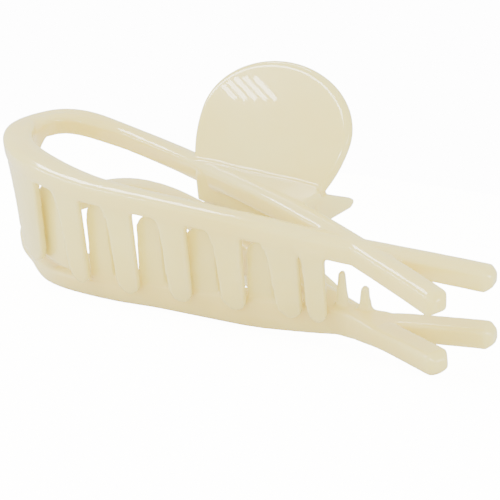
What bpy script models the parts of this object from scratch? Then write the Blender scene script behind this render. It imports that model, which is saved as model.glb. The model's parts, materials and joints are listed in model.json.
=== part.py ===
"""A large fishtail hair claw clip, closed and lying on its side.

Units are metres, +Z is up, and the clip rests on z = 0. It is modelled in its own frame, where X runs
from the nose to the tail, Y from the toothed mouth to the hinge, and z = 0 is the plane between the jaws.
An empty then tilts it the way it rests: on the paddle and the toothed rail of its lower jaw.
"""

import math
from collections import namedtuple

import bmesh
import bpy
from mathutils import Matrix, Vector
from mathutils.geometry import interpolate_bezier

MM = 0.001

# Fish outline of a jaw, along the middle of its rail
BACK_END = 133.3 * MM
FRONT_END = 135.7 * MM
RAIL_WIDTH = 5.2 * MM
RAIL_HEIGHT = 5.0 * MM
RAIL_EDGE = 1.2 * MM
PRONG_CORNER = 1.4 * MM
KNEE_X = 50.0 * MM
KNEE_HALF_WIDTH = 14.4 * MM
RAIL_SLOPE = 0.235
RAIL_BEND = 0.27
NOSE_SHIFT = 4.0 * MM
NOSE_REACH_BACK = 17.0 * MM
NOSE_REACH_FRONT = 18.0 * MM
KNEE_REACH = 20.0 * MM
NOSE_STEPS = 14
RAIL_STEPS = 9

# The nose is broader inwards, by this much, fading out between these distances on each side
NOSE_FILL = 2.0 * MM
FILL_FADE_BACK = (3.0 * MM, 24.0 * MM)
FILL_FADE_FRONT = (25.0 * MM, 60.0 * MM)

# The upper nose is also deeper, down to the broad first tooth
NOSE_DROP = 3.4 * MM
DROP_FADE = (11.0 * MM, 19.0 * MM)

# Outer face of each rail, as (distance from the nose, distance from the middle plane) in millimetres
HEIGHTS = {
    ("upper", "front"): [(0, 15.2), (25, 15.0), (55, 14.0), (85, 12.4), (107, 10.4), (134.5, 8.4)],
    ("upper", "back"): [(0, 14.5), (8, 12.6), (16, 10.4), (24, 9.3), (34, 8.9), (48, 9.1), (60, 9.9),
                        (80, 10.9), (95, 10.8), (107, 10.3), (134.5, 8.4)],
    ("lower", "front"): [(0, 15.5), (6, 16.0), (12, 18.2), (19, 19.9), (28, 18.6), (36, 17.4), (44, 16.6),
                         (57, 15.8), (82, 15.6), (95, 14.2), (107, 12.3), (116, 10.3), (134.5, 8.4)],
    ("lower", "back"): [(0, 14.5), (8, 12.6), (16, 10.4), (24, 9.3), (34, 9.3), (48, 12.4), (56, 14.0),
                        (82, 15.0), (95, 13.9), (107, 12.3), (116, 10.3), (134.5, 8.4)],
}
TAIL_RISE = 1.3 * MM
TAIL_RISE_FROM = 85.0 * MM

# Teeth: the upper row is the outer layer, the lower row the inner one
TOOTH_THICK = 1.8 * MM
UPPER_LAYER = 2.45 * MM
LAST_LAYER = 2.95 * MM
LOWER_LAYER = -0.1 * MM
SPIKE_LAYER = -0.7 * MM
LOWER_INSET = 2.4 * MM
INSET_START = (6.0 * MM, 14.5 * MM)
INSET_END = (100.0 * MM, 109.0 * MM)
ROOT_DEPTH = 3.0 * MM
TIP_OVERLAP = 2.4 * MM
TIP_GAP = 1.4 * MM
TIP_LEAN = 0.9 * MM
FLARE_RIGHT_FADE = 1.4 * MM
ROUND_LEFT = 0.62
ROUND_RIGHT = 0.42

# One row a tooth, in millimetres from the nose; a spike's tip is its height above the middle plane
UpperTooth = namedtuple("UpperTooth", "right root_width tip_right tip_width flare fade")
UPPER_TEETH = [
    UpperTooth(26.5, 13.0, 25.0, 10.4, 6.5, 2.6),
    UpperTooth(41.3, 7.4, 41.2, 5.4, 2.6, 2.1),
    UpperTooth(55.1, 6.3, 55.0, 5.4, 2.6, 2.1),
    UpperTooth(68.6, 6.2, 68.5, 5.4, 2.6, 2.1),
    UpperTooth(81.8, 6.7, 81.7, 5.4, 2.6, 2.1),
    UpperTooth(95.0, 7.2, 94.9, 5.6, 2.6, 2.1),
    UpperTooth(100.8, 4.8, 100.7, 4.0, 1.0, 2.1),
]
LowerTooth = namedtuple("LowerTooth", "left root_width tip_width tip")
LOWER_TEETH = [
    LowerTooth(20.5, 11.9, 10.9, None),
    LowerTooth(39.8, 7.2, 6.2, None),
    LowerTooth(53.9, 7.0, 6.0, None),
    LowerTooth(65.8, 8.4, 7.6, None),
    LowerTooth(81.1, 6.4, 5.6, None),
    LowerTooth(94.5, 3.4, 2.6, None),
    LowerTooth(101.6, 2.6, 1.2, 2.2),
    LowerTooth(106.6, 2.6, 1.2, -0.4),
]
FIRST_SPIKE = 6
TOOTH_FLARE = 0.5 * MM
SPIKE_FLARE = 1.2 * MM

# Hinge, in the Y-Z plane
PIN_Y = 17.0 * MM
PIN_RADIUS = 1.0 * MM
PIN_GAP = 0.3 * MM
PIN_ENDS = (51.5 * MM, 81.0 * MM)
PIN_SIDES = 16
BORE_SIDES = 20
EAR_RADIUS = 3.2 * MM
EAR_THICK = 2.5 * MM
EAR_FOOT = 0.8 * MM
EAR_FRONT_TOP = 8.0 * MM
EAR_TOP = ((0.0, 4.5 * MM), (-1.6 * MM, 9.5 * MM), (-4.7 * MM, 8.6 * MM))
WALL_LEFT = 50.0 * MM
WALL_Y = (10.8 * MM, 12.8 * MM)
WALL_GAP = 0.35 * MM
WALL_TOP = 7.6 * MM
DECK_THICK = 3.0 * MM
DECK_SINK = 0.25 * MM
DECK_BACK = 16.6 * MM
DECK_LEFT = 46.0 * MM
DECK_MIDDLE = 68.0 * MM
DECK_CORNER = 3.0 * MM
DECK_STEPS = 5
FIN_X = 84.2 * MM
FIN_THICK = 2.3 * MM
FIN_CORNERS = ((11.8, 8.6), (11.8, 2.8), (23.6, 2.8), (24.8, 3.6), (24.8, 4.7), (16.0, 9.2))

# What differs between the two jaws' hinge blocks: the lower one stands deeper
Block = namedtuple("Block", "ears right deeper paddle_x paddle_base paddle_lean")
BLOCKS = {
    "upper": Block((53.0 * MM, 77.0 * MM), 86.4 * MM, 0.0, 65.3 * MM, (15.0 * MM, 10.3 * MM), 54.0),
    "lower": Block((56.0 * MM, 74.0 * MM), 83.0 * MM, 4.4 * MM, 64.0 * MM, (15.0 * MM, 13.4 * MM), 57.0),
}
PADDLE_WIDTH = 44.0 * MM
PADDLE_BASE_WIDTH = 36.5 * MM
PADDLE_HEIGHT = 26.2 * MM
PADDLE_WIDEST = 11.0 * MM
PADDLE_THICK = 2.8 * MM
PADDLE_EDGE = 1.2 * MM
PADDLE_ROOT = 2.5 * MM

# Spring
COIL_RADIUS = 2.3 * MM
WIRE_RADIUS = 0.45 * MM
COIL_X = (60.0 * MM, 72.5 * MM)
COIL_TURNS = 7
TURN_STEPS = 12
LEG_START = 2.4 * MM
UPPER_LEG_END = (22.7 * MM, 14.4 * MM)
LOWER_LEG_END = (22.7 * MM, -18.6 * MM)

# The way it lies
REST_TILT = math.radians(25.744)
REST_PITCH = math.radians(6.48)


def smooth(value, low, high):
    """Blend from 0 at low to 1 at high."""
    part = min(max((value - low) / (high - low), 0.0), 1.0)
    return part * part * (3.0 - 2.0 * part)


def height_at(table, x):
    """Read a height in metres from a table of millimetres, on straight lines between its rows."""
    at = x / MM
    for (x0, z0), (x1, z1) in zip(table, table[1:]):
        if at <= x1:
            return (z0 + (z1 - z0) * min(max((at - x0) / (x1 - x0), 0.0), 1.0)) * MM
    return table[-1][1] * MM


def outer_height(x, y, jaw="upper"):
    """Distance of a jaw's outer face from the middle plane, over a point of the plan."""
    mix = smooth(y, -6.0 * MM, 8.0 * MM)
    rise = TAIL_RISE * smooth(x, TAIL_RISE_FROM, FRONT_END) if jaw == "upper" else 0.0
    front = height_at(HEIGHTS[jaw, "front"], x)
    back = height_at(HEIGHTS[jaw, "back"], x)
    return front * (1.0 - mix) + back * mix + rise


def inner_height(x, y, jaw):
    """Distance of a jaw rail's inner edge from the middle plane: the lower one mirrors the upper one."""
    if jaw == "lower":
        return min(outer_height(x, y), outer_height(x, y, jaw)) - RAIL_HEIGHT
    drop = NOSE_DROP * (1.0 - smooth(x, *DROP_FADE)) * (1.0 - smooth(y, -5.0 * MM, 3.0 * MM))
    return outer_height(x, y) - RAIL_HEIGHT - drop


def rail_half_width(x):
    """Distance of the rail's middle from the axis, beyond the knee. It is negative past the crossing."""
    run = x - KNEE_X
    return KNEE_HALF_WIDTH - RAIL_SLOPE * run - RAIL_BEND * run * run


def rail_middle(side, inset=0.0):
    """Points along one rail's middle, from the nose to the tail end of its prong."""
    reach = NOSE_REACH_BACK if side > 0 else NOSE_REACH_FRONT
    end = BACK_END if side > 0 else FRONT_END
    nose = Vector((RAIL_WIDTH / 2, NOSE_SHIFT))
    knee = Vector((KNEE_X, side * KNEE_HALF_WIDTH))
    slope = Vector((-1.0, side * RAIL_SLOPE)).normalized()
    points = interpolate_bezier(
        nose, nose + Vector((0, side * reach)), knee + slope * KNEE_REACH, knee, NOSE_STEPS)
    run = (end - KNEE_X) / RAIL_STEPS
    for step in range(1, RAIL_STEPS + 1):
        x = KNEE_X + run * step
        points.append(Vector((x, side * rail_half_width(x))))
    return [Vector((p.x, p.y - side * inset * inset_at(p.x))) for p in points]


def inset_at(x):
    """How much of the lower jaw's inset applies at a distance from the nose."""
    return smooth(x, *INSET_START) * (1.0 - smooth(x, *INSET_END))


def offset(points, distance, fade=None):
    """Shift a path sideways, to the left of its direction, and by the nose's fill where a fade is given."""
    moved = []
    for i, point in enumerate(points):
        before = points[max(i - 1, 0)]
        after = points[min(i + 1, len(points) - 1)]
        along = (after - before).normalized()
        fill = NOSE_FILL * (1.0 - smooth(point.x, *fade)) if fade else 0.0
        moved.append(point + Vector((-along.y, along.x)) * (distance + math.copysign(fill, distance)))
    return moved


def crossing_of(path_a, path_b):
    """First point where two paths cross, with the index of the stretch in each."""
    for i, (a0, a1) in enumerate(zip(path_a, path_a[1:])):
        for j, (b0, b1) in enumerate(zip(path_b, path_b[1:])):
            da = a1 - a0
            db = b1 - b0
            turn = da.x * db.y - da.y * db.x
            if abs(turn) < 1e-12:
                continue
            gap = b0 - a0
            ta = (gap.x * db.y - gap.y * db.x) / turn
            tb = (gap.x * da.y - gap.y * da.x) / turn
            if 0.0 <= ta <= 1.0 and 0.0 <= tb <= 1.0:
                return a0 + da * ta, i, j
    raise ValueError("the two paths do not cross")


def prong_end(far_side, near_side, steps=3):
    """Points round a prong's blunt end, from one side to the other, with its two corners rounded."""
    first = far_side[-1]
    last = near_side[-1]
    along = (far_side[-1] - far_side[-2]).normalized()
    across = (last - first).normalized()
    points = []
    for corner, way in ((first, 1.0), (last, -1.0)):
        centre = corner + across * (way * PRONG_CORNER) - along * PRONG_CORNER
        for step in range(steps + 1):
            turn = math.pi / 2 * (step if way > 0 else steps - step) / steps
            points.append(centre - across * (way * PRONG_CORNER * math.cos(turn))
                          + along * (PRONG_CORNER * math.sin(turn)))
    return far_side[:-1] + points + near_side[-2::-1]


def fish_outline(front_inset):
    """The jaw's outer outline and its hole, as two closed lists of points."""
    half = RAIL_WIDTH / 2
    back = rail_middle(1)
    front = rail_middle(-1, front_inset)
    back_out, back_in = offset(back, half), offset(back, -half, FILL_FADE_BACK)
    front_out, front_in = offset(front, -half), offset(front, half, FILL_FADE_FRONT)
    hole_end, i_back, i_front = crossing_of(back_in[4:], front_in[4:])
    hole = back_in[:i_back + 5] + [hole_end] + front_in[1:i_front + 5][::-1]
    notch_back, i, j = crossing_of(back_out[4:], front_in[4:])
    notch_front, k, m = crossing_of(front_out[4:], back_in[4:])
    crotch, n, o = crossing_of(front_out[k + 5:], back_out[i + 5:])
    outer = back_out[:i + 5] + [notch_back]
    outer += prong_end(front_in[j + 5:], front_out[k + 5 + n + 1:]) + [crotch]
    outer += prong_end(back_out[i + 5 + o + 1:], back_in[m + 5:])
    outer += [notch_front] + front_out[1:k + 5][::-1]
    return outer, hole


def plate(name, outlines, thick, edge, resolution=1):
    """A flat plate from closed outlines, with rounded edges, centred on z = 0."""
    curve = bpy.data.curves.new(name, "CURVE")
    curve.dimensions = "2D"
    curve.fill_mode = "BOTH"
    curve.extrude = thick / 2 - edge
    curve.bevel_depth = edge
    curve.bevel_resolution = resolution
    curve.offset = -edge
    for outline in outlines:
        spline = curve.splines.new("POLY")
        spline.points.add(len(outline) - 1)
        for point, place in zip(spline.points, outline):
            point.co = (place.x, place.y, 0.0, 1.0)
        spline.use_cyclic_u = True
    return solid_from(name, mesh_of(name, curve))


def mesh_of(name, curve):
    """The mesh that a curve's data draws, with the curve removed."""
    holder = bpy.data.objects.new(name, curve)
    bpy.context.scene.collection.objects.link(holder)
    mesh = bpy.data.meshes.new_from_object(holder.evaluated_get(bpy.context.evaluated_depsgraph_get()))
    bpy.data.objects.remove(holder)
    bpy.data.curves.remove(curve)
    return mesh


def solid_from(name, mesh):
    """Link a mesh as an object, welded and facing out."""
    shape = bmesh.new()
    shape.from_mesh(mesh)
    bmesh.ops.remove_doubles(shape, verts=shape.verts, dist=1e-6)
    bmesh.ops.recalc_face_normals(shape, faces=shape.faces)
    shape.to_mesh(mesh)
    shape.free()
    mesh.name = name
    made = bpy.data.objects.new(name, mesh)
    bpy.context.scene.collection.objects.link(made)
    return made


def box(name, low, high):
    """A box between two corners."""
    shape = bmesh.new()
    size = Vector(high) - Vector(low)
    middle = (Vector(high) + Vector(low)) / 2
    bmesh.ops.create_cube(shape, size=1.0, matrix=Matrix.Translation(middle) @ Matrix.Diagonal((*size, 1.0)))
    mesh = bpy.data.meshes.new(name)
    shape.to_mesh(mesh)
    shape.free()
    return solid_from(name, mesh)


def rod(name, ends, radius, sides):
    """A round rod along the pin's axis, between two distances from the nose."""
    shape = bmesh.new()
    middle = Vector(((ends[0] + ends[1]) / 2, PIN_Y, 0.0))
    bmesh.ops.create_cone(
        shape, cap_ends=True, segments=sides, radius1=radius, radius2=radius, depth=ends[1] - ends[0],
        matrix=Matrix.Translation(middle) @ Matrix.Rotation(math.pi / 2, 4, "Y"))
    mesh = bpy.data.meshes.new(name)
    shape.to_mesh(mesh)
    shape.free()
    return solid_from(name, mesh)


def cross_plate(name, x, thick, outline):
    """A plate square to X, from an outline of (y, z) pairs, starting at x."""
    made = plate(name, [[Vector(pair) for pair in outline]], thick, 0.3 * MM, 0)
    turn = Matrix(((0, 0, 1, x + thick / 2), (1, 0, 0, 0), (0, 1, 0, 0), (0, 0, 0, 1)))
    made.data.transform(turn)
    return made


def rail_loop(jaw):
    """The fish-shaped rail with its prongs, stretched between its inner and outer heights."""
    outer, hole = fish_outline(LOWER_INSET if jaw == "lower" else 0.0)
    loop = plate("rail_loop", [outer, hole], RAIL_HEIGHT, RAIL_EDGE)
    for vertex in loop.data.vertices:
        at = vertex.co
        share = at.z / RAIL_HEIGHT + 0.5
        inner = inner_height(at.x, at.y, jaw)
        at.z = inner + (outer_height(at.x, at.y, jaw) - inner) * share
    return loop


def front_line(x):
    """Y of the upper jaw's front rail middle at x."""
    points = rail_middle(-1)
    for a, b in zip(points, points[1:]):
        if a.x <= x <= b.x:
            return a.y + (b.y - a.y) * (x - a.x) / (b.x - a.x)
    return points[-1].y


def tooth(name, root_sides, tip_sides, root, tip, layer, flares, fade, lean=0.0):
    """A tooth that follows the curve of the front rail.

    root_sides and tip_sides are its left and right sides, flares how far each side spreads at the root,
    layer how far its outer face stands out from the upper rail's middle line, and lean how far its tip
    bends inwards.
    """
    shape = bmesh.new()
    bmesh.ops.create_grid(shape, x_segments=4, y_segments=9, size=0.5)
    downward = 1.0 if tip > root else -1.0
    length = abs(tip - root)
    tip_width = tip_sides[1] - tip_sides[0]
    for vertex in shape.verts:
        across = vertex.co.x + 0.5
        along = vertex.co.y + 0.5
        part = 1.0 - (1.0 - along) ** 1.6
        depth = length * part
        left = root_sides[0] + (tip_sides[0] - root_sides[0]) * part - flares[0] * math.exp(-depth / fade)
        right = (root_sides[1] + (tip_sides[1] - root_sides[1]) * part
                 + flares[1] * math.exp(-depth / FLARE_RIGHT_FADE))
        middle = left + (right - left) * 0.55
        left = middle + (left - middle) * corner_share((length - depth) / (tip_width * ROUND_LEFT))
        right = middle + (right - middle) * corner_share((length - depth) / (tip_width * ROUND_RIGHT))
        x = left + (right - left) * across
        slope = (front_line(x + 0.5 * MM) - front_line(x - 0.5 * MM)) / MM
        along_x = Vector((1.0, slope)).normalized()
        outward = Vector((along_x.y, -along_x.x))
        at = Vector((x, front_line(x))) + outward * (layer - lean * part ** 2 - TOOTH_THICK / 2)
        vertex.co = (at.x, at.y, root + downward * depth)
    mesh = bpy.data.meshes.new(name)
    shape.to_mesh(mesh)
    shape.free()
    made = bpy.data.objects.new(name, mesh)
    bpy.context.scene.collection.objects.link(made)
    wall = made.modifiers.new("wall", "SOLIDIFY")
    wall.thickness = TOOTH_THICK
    wall.offset = 0.0
    wall.use_even_offset = True
    apply_modifiers(made)
    mesh = made.data.copy()
    bpy.data.objects.remove(made)
    return solid_from(name, mesh)


def corner_share(rest):
    """Width of a rounded tip, as a share, at a distance from its end given in corner radii."""
    near = 1.0 - min(rest, 1.0)
    return math.sqrt(max(1.0 - near * near, 0.03))


def apply_modifiers(made):
    """Turn an object's modifiers into its mesh."""
    done = bpy.data.meshes.new_from_object(made.evaluated_get(bpy.context.evaluated_depsgraph_get()))
    made.modifiers.clear()
    made.data = done


def upper_teeth():
    """Seven teeth: a broad one at the nose, five even ones, and a narrow one by the crossing."""
    made = []
    for index, row in enumerate(UPPER_TEETH):
        face = outer_height((row.right - row.root_width / 2) * MM, -KNEE_HALF_WIDTH)
        layer = LAST_LAYER if row is UPPER_TEETH[-1] else UPPER_LAYER
        made.append(tooth("upper_tooth_%d" % (index + 1),
                          ((row.right - row.root_width) * MM, row.right * MM),
                          ((row.tip_right - row.tip_width) * MM, row.tip_right * MM),
                          face - ROOT_DEPTH, RAIL_HEIGHT - face - TIP_OVERLAP, layer,
                          (row.flare * MM, TOOTH_FLARE), row.fade * MM))
    return made


def lower_teeth():
    """Five broad teeth set between the upper ones, a narrow one, and two short spikes by the crossing."""
    made = []
    for index, row in enumerate(LOWER_TEETH):
        spike = index >= FIRST_SPIKE
        face = outer_height((row.left + row.root_width / 2) * MM, -KNEE_HALF_WIDTH)
        tip = face - RAIL_HEIGHT - TIP_GAP if row.tip is None else row.tip * MM
        spare = (row.root_width - row.tip_width) / 2
        flare = SPIKE_FLARE if spike else TOOTH_FLARE
        made.append(tooth("lower_tooth_%d" % (index + 1),
                          (row.left * MM, (row.left + row.root_width) * MM),
                          ((row.left + spare) * MM, (row.left + row.root_width - spare) * MM),
                          ROOT_DEPTH - face, tip, SPIKE_LAYER if spike else LOWER_LAYER,
                          (flare, flare), 2.1 * MM, 0.0 if spike else TIP_LEAN))
    return made


def paddle(block):
    """The round finger paddle, standing back from the hinge."""
    half = PADDLE_WIDTH / 2
    top = PADDLE_HEIGHT - PADDLE_WIDEST
    foot = PADDLE_WIDEST + PADDLE_ROOT
    below = foot / math.sqrt(1.0 - (PADDLE_BASE_WIDTH / PADDLE_WIDTH) ** 2)
    low_turn = math.asin(foot / below)
    outline = []
    for step in range(9):
        turn = -low_turn + low_turn * step / 8
        outline.append(Vector((half * math.cos(turn), PADDLE_WIDEST + below * math.sin(turn))))
    for step in range(1, 24):
        turn = math.pi * step / 24
        outline.append(Vector((half * math.cos(turn), PADDLE_WIDEST + top * math.sin(turn))))
    for step in range(9):
        turn = math.pi + low_turn * step / 8
        outline.append(Vector((half * math.cos(turn), PADDLE_WIDEST + below * math.sin(turn))))
    made = plate("paddle", [outline], PADDLE_THICK, PADDLE_EDGE, 1)
    lift = Matrix.Translation((block.paddle_x, *block.paddle_base))
    lean = Matrix.Rotation(math.radians(block.paddle_lean), 4, "X")
    made.data.transform(lift @ lean @ Matrix.Translation((0, 0, -PADDLE_THICK / 2)))
    return made


def deck(jaw, right):
    """The deck that fills the space between the curved back rail and the straight hinge line."""
    outline = [Vector((DECK_LEFT, KNEE_HALF_WIDTH)), Vector((DECK_MIDDLE, rail_half_width(DECK_MIDDLE))),
               Vector((right, rail_half_width(right))), Vector((right, DECK_BACK - DECK_CORNER))]
    back_right = right - DECK_CORNER
    back_left = DECK_LEFT + DECK_CORNER / 3
    for step in range(DECK_STEPS + 1):
        outline.append(Vector((back_right + (back_left - back_right) * step / DECK_STEPS, DECK_BACK)))
    made = plate("deck", [outline], DECK_THICK, 0.6 * MM, 0)
    for vertex in made.data.vertices:
        vertex.co.z += outer_height(vertex.co.x, PIN_Y, jaw) - DECK_THICK / 2 - DECK_SINK
    return made


def ear(name, x, deeper):
    """A hinge ear: a cheek from the deck down to an eye round the pin, still without its bore."""
    front = WALL_Y[1] - EAR_FOOT
    back = PIN_Y + EAR_RADIUS
    outline = [(front, EAR_FRONT_TOP + deeper), (front, EAR_FOOT), (PIN_Y - EAR_RADIUS, EAR_FOOT)]
    for step in range(9):
        turn = math.pi + math.pi * step / 8
        outline.append((PIN_Y + EAR_RADIUS * math.cos(turn), EAR_RADIUS * math.sin(turn)))
    outline += [(back + shift, top + deeper) for shift, top in EAR_TOP]
    return cross_plate(name, x, EAR_THICK, outline)


def fin():
    """The fin at the tail end of the hinge, which stops the paddles when they are squeezed."""
    return cross_plate("fin", FIN_X, FIN_THICK, [(y * MM, z * MM) for y, z in FIN_CORNERS])


def hinge_parts(jaw):
    """Everything behind the back rail: deck, wall, ears and paddle, and the upper jaw's fin."""
    block = BLOCKS[jaw]
    wall = box("wall", (WALL_LEFT, WALL_Y[0], WALL_GAP),
               (block.right - 0.4 * MM, WALL_Y[1], WALL_TOP + block.deeper))
    made = [deck(jaw, block.right), wall, ear("ear_nose_side", block.ears[0], block.deeper),
            ear("ear_tail_side", block.ears[1], block.deeper), paddle(block)]
    if jaw == "upper":
        made.append(fin())
    return made


def fuse(base, extras):
    """Join closed solids to a base as one body, and remove them."""
    for extra in extras:
        join = base.modifiers.new("join", "BOOLEAN")
        join.operation = "UNION"
        join.solver = "EXACT"
        join.object = extra
        apply_modifiers(base)
        bpy.data.objects.remove(extra)


def bore(base, ears):
    """Drill the ears for the pin."""
    for x in ears:
        drill = rod("bore", (x - EAR_FOOT / 2, x + EAR_THICK + EAR_FOOT / 2), PIN_RADIUS + PIN_GAP, BORE_SIDES)
        cut = base.modifiers.new("cut", "BOOLEAN")
        cut.operation = "DIFFERENCE"
        cut.solver = "EXACT"
        cut.object = drill
        apply_modifiers(base)
        bpy.data.objects.remove(drill)


def build_jaw(jaw):
    """One jaw as one closed solid, in the clip's own frame."""
    base = rail_loop(jaw)
    extras = hinge_parts(jaw)
    if jaw == "lower":
        for made in [base] + extras:
            made.data.transform(Matrix.Diagonal((1, 1, -1, 1)))
            made.data.flip_normals()
    fuse(base, extras)
    fuse(base, upper_teeth() if jaw == "upper" else lower_teeth())
    bore(base, BLOCKS[jaw].ears)
    tidy(base)
    base.name = jaw + "_jaw"
    base.data.name = base.name
    return base


def tidy(made):
    """Weld what the joins left closer than a hundredth of a millimetre, and cut all faces to triangles."""
    shape = bmesh.new()
    shape.from_mesh(made.data)
    bmesh.ops.dissolve_degenerate(shape, edges=shape.edges, dist=8e-6)
    bmesh.ops.remove_doubles(shape, verts=shape.verts, dist=8e-6)
    bmesh.ops.triangulate(shape, faces=shape.faces)
    shape.to_mesh(made.data)
    shape.free()


def build_spring():
    """The torsion spring: a coil round the pin, and a leg towards each paddle."""
    back = PIN_Y + COIL_RADIUS
    route = [Vector((COIL_X[0], *UPPER_LEG_END)), Vector((COIL_X[0], back, LEG_START))]
    steps = COIL_TURNS * TURN_STEPS
    for step in range(steps + 1):
        turn = -math.tau * step / TURN_STEPS
        x = COIL_X[0] + (COIL_X[1] - COIL_X[0]) * step / steps
        route.append(Vector((x, PIN_Y + COIL_RADIUS * math.cos(turn), COIL_RADIUS * math.sin(turn))))
    route += [Vector((COIL_X[1], back, -LEG_START)), Vector((COIL_X[1], *LOWER_LEG_END))]
    curve = bpy.data.curves.new("spring", "CURVE")
    curve.dimensions = "3D"
    curve.bevel_depth = WIRE_RADIUS
    curve.bevel_resolution = 1
    curve.use_fill_caps = True
    spline = curve.splines.new("POLY")
    spline.points.add(len(route) - 1)
    for point, place in zip(spline.points, route):
        point.co = (*place, 1.0)
    return solid_from("spring", mesh_of("spring_wire", curve))


def finish_material(name, colour, roughness, metallic):
    """A plain Principled material."""
    material = bpy.data.materials.new(name)
    material.use_nodes = True
    shader = material.node_tree.nodes["Principled BSDF"]
    shader.inputs["Base Color"].default_value = (*colour, 1.0)
    shader.inputs["Roughness"].default_value = roughness
    shader.inputs["Metallic"].default_value = metallic
    return material


def place_on_pin(made, holder, collection):
    """Put an object's origin on the pin and hang it under an empty there."""
    made.data.transform(Matrix.Translation((0, -PIN_Y, 0)))
    made.parent = holder
    bpy.context.scene.collection.objects.unlink(made)
    collection.objects.link(made)
    for polygon in made.data.polygons:
        polygon.use_smooth = True
    made.data.set_sharp_from_angle(angle=math.radians(35))


def main():
    """Build the clip and lay it down."""
    for old in list(bpy.data.objects):
        bpy.data.objects.remove(old)
    collection = bpy.data.collections.new("hair_claw_clip")
    bpy.context.scene.collection.children.link(collection)
    plastic = finish_material("cream_plastic", (0.85, 0.76, 0.57), 0.25, 0.0)
    steel = finish_material("spring_steel", (0.55, 0.55, 0.56), 0.3, 1.0)
    pin = rod("hinge_pin", PIN_ENDS, PIN_RADIUS, PIN_SIDES)
    parts = [build_jaw("upper"), build_jaw("lower"), pin, build_spring()]
    for made, material in zip(parts, (plastic, plastic, steel, steel)):
        made.data.materials.clear()
        made.data.materials.append(material)
    holder = bpy.data.objects.new("hinge_axis", None)
    holder.empty_display_size = 0.01
    collection.objects.link(holder)
    turn = Matrix.Rotation(REST_PITCH, 4, "Y") @ Matrix.Rotation(REST_TILT, 4, "X")
    laid = [turn @ (v.co - Vector((0, PIN_Y, 0))) for made in parts for v in made.data.vertices]
    low = [min(point[k] for point in laid) for k in range(3)]
    high = [max(point[k] for point in laid) for k in range(3)]
    lift = Matrix.Translation((-(low[0] + high[0]) / 2, -(low[1] + high[1]) / 2, -low[2]))
    holder.matrix_world = lift @ turn
    for made in parts:
        place_on_pin(made, holder, collection)
    bpy.context.view_layer.update()


main()
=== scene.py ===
"""A large cream fishtail hair claw clip, closed and lying on its side on a pale floor.

Sizes are in metres. The clip is modelled in its own frame, where X runs from the nose to the tail, Y from
the toothed mouth to the hinge, and z = 0 is the plane between the jaws. Each finished piece is then laid
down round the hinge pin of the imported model, which gives every size here its place.
"""

from __future__ import annotations

import json
import logging
import math
from dataclasses import dataclass
from enum import Enum

import bpy
from mathutils import Matrix, Vector
from mathutils.geometry import interpolate_bezier


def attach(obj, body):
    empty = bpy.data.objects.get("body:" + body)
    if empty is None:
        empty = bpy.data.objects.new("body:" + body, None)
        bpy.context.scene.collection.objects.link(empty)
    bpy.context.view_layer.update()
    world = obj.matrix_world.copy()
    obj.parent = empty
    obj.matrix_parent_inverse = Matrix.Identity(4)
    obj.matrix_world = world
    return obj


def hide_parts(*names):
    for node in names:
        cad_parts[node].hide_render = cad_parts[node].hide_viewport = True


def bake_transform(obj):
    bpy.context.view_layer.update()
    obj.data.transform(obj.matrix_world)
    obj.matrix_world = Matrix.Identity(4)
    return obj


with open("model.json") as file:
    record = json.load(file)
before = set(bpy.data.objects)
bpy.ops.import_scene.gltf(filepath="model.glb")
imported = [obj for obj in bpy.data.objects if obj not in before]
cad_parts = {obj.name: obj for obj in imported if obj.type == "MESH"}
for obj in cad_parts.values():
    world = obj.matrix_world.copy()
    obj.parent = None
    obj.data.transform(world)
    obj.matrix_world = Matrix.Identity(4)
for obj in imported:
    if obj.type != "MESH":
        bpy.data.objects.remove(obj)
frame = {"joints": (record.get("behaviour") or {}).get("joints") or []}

LOG = logging.getLogger("hair_clip")
MM = 0.001
Outline = list[Vector]


class Side(Enum):
    """The two jaws, with the CAD node and the body that each one stands for."""

    UPPER = ("upper_jaw", "upper", 1.0)
    LOWER = ("lower_jaw", "lower", -1.0)

    @property
    def node(self) -> str:
        """Name of the CAD node."""
        return self.value[0]

    @property
    def body(self) -> str:
        """Name of the CAD body."""
        return self.value[1]

    @property
    def up(self) -> float:
        """Direction of the jaw's outer face along Z: 1 or -1."""
        return self.value[2]


@dataclass(frozen=True)
class Lie:
    """How the clip lies: its own frame turned about the pin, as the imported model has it."""

    pitch: float = math.radians(6.48)
    tilt: float = math.radians(25.744)
    pin_middle: tuple[float, float, float] = (66.25 * MM, 17.0 * MM, 0.0)

    def matrix(self) -> Matrix:
        """Build the transform from the clip's frame to the row frame.

        Returns:
            The 4x4 matrix.
        """
        hinge = Vector(frame["joints"][0]["pos_m"])
        turn = Matrix.Rotation(self.pitch, 4, "Y") @ Matrix.Rotation(self.tilt, 4, "X")
        return Matrix.Translation(hinge) @ turn @ Matrix.Translation(-Vector(self.pin_middle))


LIE = Lie()


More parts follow.
